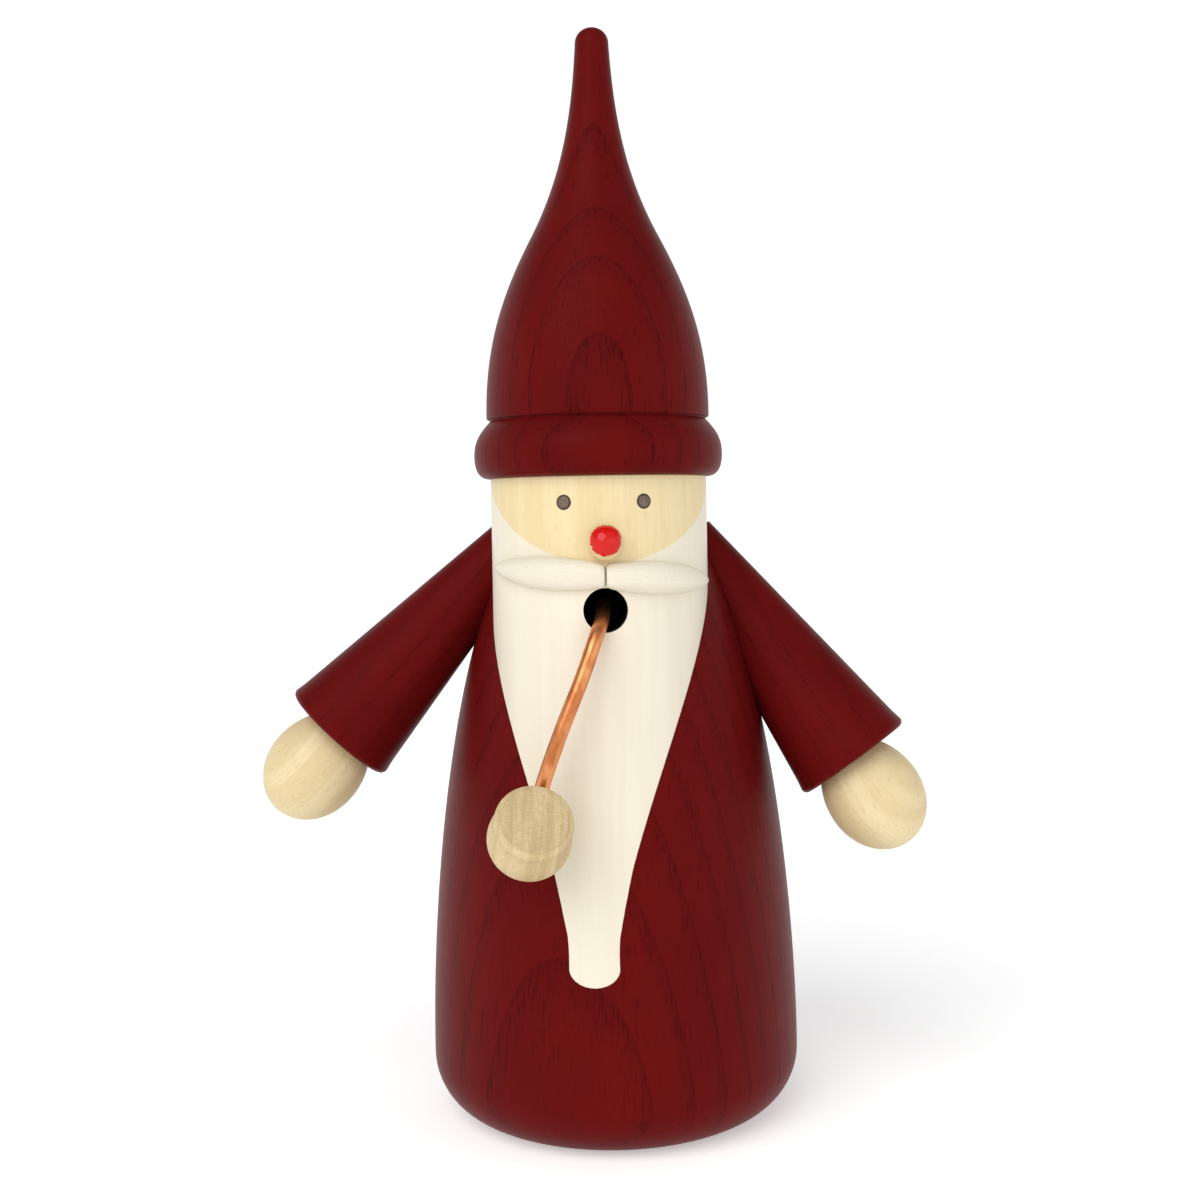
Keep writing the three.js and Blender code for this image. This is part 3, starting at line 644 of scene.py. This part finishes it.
def tinplate():
    """Pressed tinplate, a little heat-stained in soft patches."""
    f = Finish("tinplate")
    place = f.stretch(f.place, 1 / MM, 1 / MM, 1 / MM)
    stain = f.noise(place, scale=0.22, detail=3.0)
    scratch = f.noise(f.stretch(place, 5.0, 0.5, 0.5), detail=2.0)
    colour = f.mix(f.band(stain, 0.4, 0.7), rgb(196, 196, 192), rgb(150, 132, 108))
    return f.surface_set(
        Base_Color=colour,
        Metallic=1.0,
        Roughness=f.math("ADD", 0.3, f.math("MULTIPLY", stain, 0.2)),
        Normal=f.bump(scratch, 0.2, 0.02),
    )


def give(piece, material, body, slot, *nodes):
    """Finishes a piece: its material, the body that it rides on and the CAD nodes it replaces. The slot
    argument is not used.
    """
    piece.data.materials.clear()
    piece.data.materials.append(material)
    smooth(piece)
    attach(piece, body)
    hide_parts(*nodes)
    return piece


# ---------------------------------------------------------------- shared shapes


def body_envelope(name, grow):
    foot_radius = BODY_RADIUS - FOOT_ROUNDING
    foot = arc(foot_radius, BODY_WIDEST_HEIGHT, FOOT_ROUNDING + grow, BODY_WIDEST_HEIGHT + grow, -90, 0, 24)
    steps = 96
    dome = []
    for i in range(1, steps):
        angle = math.pi / 2 * i / steps
        radius = (BODY_RADIUS + grow) * math.cos(angle) ** (2 / DOME_FULLNESS)
        dome.append((radius, BODY_WIDEST_HEIGHT + (BODY_RISE + grow) * math.sin(angle) ** (2 / DOME_TAPER)))
    return turned(name, [(0, -grow), *foot, *dome, (0, BODY_WIDEST_HEIGHT + BODY_RISE + grow)], FINE)


def head_ease(height):
    """The column swells and then draws in by a few hundredths towards its foot, which tapers the beard."""
    below = -height - BEARD_EASE_START
    return BEARD_EASE * math.sin(math.pi * below / BEARD_EASE_LENGTH) if below > 0 else 0


def head_envelope(name, grow, top):
    bottom = -HEAD_LENGTH
    foot = arc(
        HEAD_RADIUS - HEAD_FOOT_INSET,
        bottom + HEAD_FOOT_HEIGHT,
        HEAD_FOOT_INSET + grow,
        HEAD_FOOT_HEIGHT + grow,
        -90,
        0,
        48,
    )
    sides = [(HEAD_RADIUS + grow, top - (top - bottom) * i / 24) for i in range(20, -1, -1)]
    rings = [(radius + head_ease(height), height) for radius, height in (*foot, *sides)]
    return turned(name, [(0, bottom - grow), *rings, (0, top)], FINE, head_frame)


def chamber(name):
    outline = [
        (0, -1),
        (PLUG_SEAT_RADIUS, -1),
        (PLUG_SEAT_RADIUS, PLUG_SEAT_DEPTH + SEAM),
        (CHAMBER_RADIUS, PLUG_SEAT_DEPTH + SEAM),
        (CHAMBER_RADIUS, CHAMBER_TOP - CHAMBER_TOP_CHAMFER),
        (CHAMBER_RADIUS - CHAMBER_TOP_CHAMFER, CHAMBER_TOP),
        (0, CHAMBER_TOP),
    ]
    return turned(name, outline, MEDIUM)


# ---------------------------------------------------------------- body and head

body = cut(
    body_envelope("robe", 0),
    head_envelope("head_space", SEAM, BODY_RISE),
    chamber("robe_chamber"),
)
robe_grain = Matrix.Translation((-0.5, 0, 0))
robe_ash = ash("robe_ash", robe_grain, 0.45, lean=0.097, skew=0.3, contrast=0.9)
give(body, robe_ash, "figure", "red_ash", "body")

hole_start = HEAD_RADIUS - PEG_HOLE_DEPTH
hole_end = HEAD_RADIUS + 2
head_cuts = [
    bar("channel", CHANNEL_RADIUS, -HEAD_LENGTH + HEAD_RADIUS, -CHANNEL_TOP, MEDIUM, head_frame),
    chamber("head_chamber"),
    bar("mouth", MOUTH_RADIUS, 0, hole_end, MEDIUM, out_of_face(0, MOUTH_DROP)),
    bar("eye_hole_right", EYE_RADIUS + SEAM, hole_start, hole_end, SMALL, out_of_face(-EYE_ANGLE, EYE_DROP)),
    bar("eye_hole_left", EYE_RADIUS + SEAM, hole_start, hole_end, SMALL, out_of_face(EYE_ANGLE, EYE_DROP)),
]
head = cut(head_envelope("head_and_beard", 0, 0), *head_cuts)
give(head, head_wood(), "figure", "face_wood", "head")

# ---------------------------------------------------------------- hat


def hat_outline():
    under = SEAM
    step = under + BRIM_HEIGHT
    waist = (HAT_RADIUS - 0.5, step - 0.25)
    brim_low = (HEAD_RADIUS + 0.2, under)
    brim_wide = (BRIM_RADIUS, under + 3.2)
    bell_low = (HAT_RADIUS, step + 0.2)
    shoulder = (HAT_SHOULDER_RADIUS, HAT_SHOULDER_HEIGHT)
    tip_height = 2.2
    tip = (HAT_TIP_RADIUS, HAT_HEIGHT - tip_height)
    return [
        (0, under),
        brim_low,
        *bezier(brim_low, (BRIM_RADIUS - 0.4, under), (BRIM_RADIUS, under + 1.6), brim_wide, 14),
        *bezier(brim_wide, (BRIM_RADIUS, under + 5.6), (HAT_RADIUS + 0.7, step - 1.6), waist, 16),
        (HAT_RADIUS - 0.5, step),
        (HAT_RADIUS - 0.1, step),
        bell_low,
        *bezier(
            bell_low,
            (HAT_RADIUS, step + 9),
            (HAT_SHOULDER_RADIUS + 4.9, HAT_SHOULDER_HEIGHT - 9.2),
            shoulder,
            40,
        ),
        *bezier(
            shoulder,
            (HAT_SHOULDER_RADIUS - 4.8, HAT_SHOULDER_HEIGHT + 9),
            (HAT_TIP_RADIUS + 0.55, HAT_HEIGHT - 11.4),
            tip,
            40,
        ),
        *arc(0, HAT_HEIGHT - tip_height, HAT_TIP_RADIUS, tip_height, 0, 90, 14)[1:],
    ]


hat = turned("pointed_hat", hat_outline(), FINE, head_frame)
give(hat, ash("hat_ash", head_frame, 0.03, hollow=0.0185), "figure", "red_ash", "hat")

# ---------------------------------------------------------------- arms


def hand_outline(grow):
    widest = HAND_PROUD - HAND_RADIUS - 1.2
    inner = arc(0, widest, HAND_RADIUS + grow, widest + HAND_SOCKET_DEPTH + grow, -90, 0, 28)
    outer = arc(0, widest, HAND_RADIUS + grow, HAND_PROUD - widest + grow, 0, 90, 32)[1:]
    return [*inner, *outer]


def sleeve_outline():
    wall = math.tan(SLEEVE_TAPER)
    inner_extra = 3
    rounding = SLEEVE_EDGE_ROUNDING
    inner_radius = SLEEVE_END_RADIUS - (SLEEVE_LENGTH + inner_extra) * wall
    start = (inner_radius, -inner_extra)
    edge = (SLEEVE_END_RADIUS - rounding * wall, SLEEVE_LENGTH - rounding)
    steps = 24
    side = [tuple(a + (b - a) * i / steps for a, b in zip(start, edge)) for i in range(steps)]
    return [
        (0, -inner_extra),
        *side,
        *arc(SLEEVE_END_RADIUS - rounding, SLEEVE_LENGTH - rounding, rounding, rounding, 0, 90, 8),
        (0, SLEEVE_LENGTH),
    ]


for arm, side, height, hang, swing in ARMS:
    sleeve_frame = arm_frame(side, height, hang, swing)
    palm_frame = hand_frame(sleeve_frame)
    sleeve = cut(
        turned("arm_" + arm, sleeve_outline(), MEDIUM, sleeve_frame),
        turned("socket", hand_outline(SEAM), MEDIUM, palm_frame),
        body_envelope("robe_space", SEAM),
        head_envelope("head_space", SEAM, 1),
    )
    turn = Matrix.Rotation(math.radians(70 * side), 4, "Z")
    sleeve_ash = ash("sleeve_ash_" + arm, sleeve_frame @ turn, 0.3, lean=0.06, contrast=0.6)
    give(sleeve, sleeve_ash, "figure", "red_ash", "sleeve_" + arm)
    palm = turned("palm_" + arm, hand_outline(0), MEDIUM, palm_frame)
    palm_wood = light_wood("palm_wood_" + arm, palm_frame, rgb(229, 210, 166), rgb(218, 197, 150), 0.55)
    give(palm, palm_wood, "figure", "lime_wood", "hand_" + arm)

# ---------------------------------------------------------------- face pegs and moustache


def nose_outline():
    centre = HEAD_RADIUS + NOSE_PROUD
    shank = 1.5
    start = HEAD_RADIUS - 7
    meet = math.degrees(math.asin(shank / NOSE_RADIUS))
    return [
        (0, start),
        (shank, start),
        *arc(0, centre, NOSE_RADIUS, NOSE_RADIUS, meet - 90, 90, 32),
    ]


nose_frame = out_of_face(0, NOSE_DROP)
nose = turned("nose_peg", nose_outline(), SMALL, nose_frame)
give(nose, nose_finish(nose_frame), "figure", "nose_red", "nose")

for side, angle in (("right", -EYE_ANGLE), ("left", EYE_ANGLE)):
    eye_frame = out_of_face(angle, EYE_DROP)
    dome = arc(0, HEAD_RADIUS - 0.1, EYE_RADIUS, 0.32, 0, 90, 12)
    peg = [(0, hole_start), (EYE_RADIUS, hole_start), *dome]
    eye = turned("eye_peg_" + side, peg, SMALL, eye_frame)
    give(eye, eye_finish(eye_frame, "eye_stain_" + side), "figure", "eye_brown", "eye_" + side)


def moustache(name, side):
    """A turned drop, bent round the head by carrying its length round the head's axis."""
    bend_radius = HEAD_RADIUS + 0.3
    inner = 0.12
    length = bend_radius * MOUSTACHE_TIP_ANGLE - inner
    thick = 0.34 * length
    outline = [
        (0, 0),
        (0.55, 0),
        *bezier((0.55, 0), (0.74, 0.0), (0.82, 0.05 * length), (0.88, 0.12 * length), 10),
        *bezier((0.88, 0.12 * length), (0.93, 0.2 * length), (1, 0.26 * length), (1, thick), 12),
        *bezier((1, thick), (1, 0.62 * length), (0.5, 0.86 * length), (0.2, 0.97 * length), 28),
        *bezier((0.2, 0.97 * length), (0.16, 0.99 * length), (0.1, length), (0, length), 8),
    ]

    def bent(p):
        angle = side * (inner + p.z) / bend_radius
        radius = bend_radius + MOUSTACHE_PROUD * p.x
        height = MOUSTACHE_HALF_HEIGHT * p.y * side
        drop = MOUSTACHE_DROP + angle * bend_radius * math.tan(MOUSTACHE_SLOPE)
        return Vector((radius * math.sin(angle), -radius * math.cos(angle), -height - drop))

    return turned(name, outline, SMALL, face_frame, bent)


nose_room = arc(0, HEAD_RADIUS + NOSE_PROUD, NOSE_RADIUS + SEAM, NOSE_RADIUS + SEAM, -90, 90, 24)
for side, sign in (("right", -1), ("left", 1)):
    half = cut(
        moustache("whisker_" + side, sign),
        bar("head_core", HEAD_RADIUS + SEAM, -HEAD_LENGTH, 0, FINE, head_frame),
        turned("nose_space", nose_room, SMALL, nose_frame),
    )
    grain = face_frame @ along((1, 0, 0), Vector((0, -HEAD_RADIUS, -MOUSTACHE_DROP)))
    pale = rgb(231, 223, 204)
    deep = rgb(228, 219, 199)
    white = light_wood("whisker_glaze_" + side, grain, pale, deep, 0.5, flecks=0.03)
    give(half, white, "figure", "white_wood", "moustache_" + side)

# ---------------------------------------------------------------- pipe

socket_end = BOWL_FACE - BOWL_AXIS * (BOWL_HEIGHT / 2)
leg = PIPE_LEG_END - PIPE_LEG_START
pipe_points = [
    PIPE_LEG_START,
    PIPE_LEG_START + leg / 3,
    PIPE_LEG_START + leg * 2 / 3,
    PIPE_LEG_END,
    *PIPE_BENDS,
    socket_end + Vector((0.25, 0.4, 2.2)),
]
wire = tube("pipe_wire", catmull_rom(pipe_points, 12), WIRE_RADIUS, 28, face_frame)
give(wire, copper(), "pipe", "copper", "pipe_stem")


def bowl_outline():
    neck = -BOWL_RIM_HEIGHT - 0.4
    widest = (neck - BOWL_HEIGHT) / 2 + 0.4
    below_neck = (BOWL_NECK_RADIUS + 0.3, neck)
    neck_in = (BOWL_NECK_RADIUS, neck)
    rim_in = (BOWL_RIM_RADIUS - 0.1, -0.35)
    bevel_in = (BOWL_FACE_RADIUS + 0.1, -0.2)
    return [
        *arc(0, widest, BOWL_RADIUS, BOWL_HEIGHT + widest, -90, 0, 28),
        *bezier((BOWL_RADIUS, widest), (BOWL_RADIUS, widest + 2), below_neck, neck_in, 16),
        (BOWL_NECK_RADIUS, -BOWL_RIM_HEIGHT - 0.02),
        (BOWL_RIM_RADIUS - 0.15, -BOWL_RIM_HEIGHT),
        (BOWL_RIM_RADIUS, -BOWL_RIM_HEIGHT + 0.18),
        (BOWL_RIM_RADIUS, -0.95),
        *bezier((BOWL_RIM_RADIUS, -0.7), (BOWL_RIM_RADIUS, -0.45), rim_in, bevel_in, 8),
        (BOWL_FACE_RADIUS + 0.03, -0.06),
        (BOWL_FACE_RADIUS, 0),
        (0, 0),
    ]


bowl_frame = face_frame @ along(BOWL_AXIS, BOWL_FACE)
bowl = cut(
    turned("pipe_bowl_turned", bowl_outline(), MEDIUM, bowl_frame),
    tube("wire_hole", catmull_rom(pipe_points, 8), WIRE_RADIUS + SEAM, 24, face_frame),
)
bowl_wood = light_wood("bowl_wood", bowl_frame, rgb(214, 192, 148), rgb(196, 172, 126), 0.8, end_grain=True)
give(bowl, bowl_wood, "pipe", "lime_wood", "pipe_bowl")

# ---------------------------------------------------------------- base plug, dish and nail

plug_radius = PLUG_SEAT_RADIUS - PLUG_CLEARANCE
air_holes = []
for i in range(AIR_HOLE_COUNT):
    angle = 2 * math.pi * i / AIR_HOLE_COUNT
    at = Matrix.Translation((AIR_HOLE_CIRCLE * math.cos(angle), AIR_HOLE_CIRCLE * math.sin(angle), 0))
    air_holes.append(bar("air_hole", AIR_HOLE_RADIUS, -1, PLUG_SEAT_DEPTH + 1, SMALL, at))
plug = cut(
    turned(
        "bottom_plug",
        [
            (0, 0),
            *arc(
                plug_radius - PLUG_EDGE_ROUNDING,
                PLUG_EDGE_ROUNDING,
                PLUG_EDGE_ROUNDING,
                PLUG_EDGE_ROUNDING,
                -90,
                0,
                6,
            ),
            (plug_radius, PLUG_SEAT_DEPTH),
            (0, PLUG_SEAT_DEPTH),
        ],
        MEDIUM,
    ),
    *air_holes,
)
plug_wood = light_wood("plug_wood", along((0, 1, 0)), rgb(222, 192, 146), rgb(204, 168, 118), 0.6)
give(plug, plug_wood, "base", "beech", "base_plug")

dish = turned(
    "ember_dish",
    [
        (0, DISH_FLOOR),
        (DISH_RADIUS - DISH_WALL, DISH_FLOOR),
        *arc(DISH_RADIUS - DISH_WALL, DISH_FLOOR + DISH_WALL, DISH_WALL, DISH_WALL, -90, 0, 8)[1:],
        *arc(DISH_RADIUS - DISH_WALL / 2, DISH_FLOOR + DISH_RIM_HEIGHT - 0.3, DISH_WALL / 2, 0.3, 0, 180, 10),
        (DISH_RADIUS - DISH_WALL, DISH_FLOOR + DISH_WALL),
        (0, DISH_FLOOR + DISH_WALL),
    ],
    MEDIUM,
)
tin = tinplate()
give(dish, tin, "base", "tinplate", "cone_dish")

nail_low, nail_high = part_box("dish_nail")
nail_head = nail_high.z / MM
nail = turned(
    "tack",
    [
        (0, nail_low.z / MM),
        (NAIL_RADIUS, nail_low.z / MM + NAIL_POINT),
        (NAIL_RADIUS, nail_head - NAIL_HEAD_HEIGHT),
        *arc(0, nail_head - NAIL_HEAD_HEIGHT, NAIL_HEAD_RADIUS, NAIL_HEAD_HEIGHT, 0, 90, 10),
    ],
    SMALL,
)
give(nail, tin, "base", "tinplate", "dish_nail")

# ---------------------------------------------------------------- hidden dowels keep their CAD shape

dowel_wood = light_wood("dowel_wood", Matrix(), rgb(222, 192, 146), rgb(204, 168, 118), 0.6)
for node in ("hat_dowel", "shoulder_dowel_right", "shoulder_dowel_left"):
    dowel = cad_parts[node]
    dowel.data.materials.clear()
    dowel.data.materials.append(dowel_wood)

# ---------------------------------------------------------------- floor


FLOOR_HALF_WIDTH = 3000
FLOOR_DROP = 0.05  # so that the floor never shares a plane with the foot


def make_floor():
    half = FLOOR_HALF_WIDTH
    floor = finish_mesh(
        "floor",
        [(-half, -half, 0), (half, -half, 0), (half, half, 0), (-half, half, 0)],
        [(0, 1, 2, 3)],
        Matrix.Translation((0, 0, -FLOOR_DROP)),
    )
    f = Finish("floor_paper")
    tooth = f.noise(f.place, scale=900.0, detail=2.0)
    f.surface_set(
        Base_Color=f.mix(tooth, rgb(252, 252, 252), rgb(246, 246, 246)),
        Roughness=0.9,
        Specular_IOR_Level=0.1,
        Emission_Color=(1.0, 1.0, 1.0, 1.0),
        Emission_Strength=0.38,
    )
    floor.data.materials.append(f.material)


make_floor()
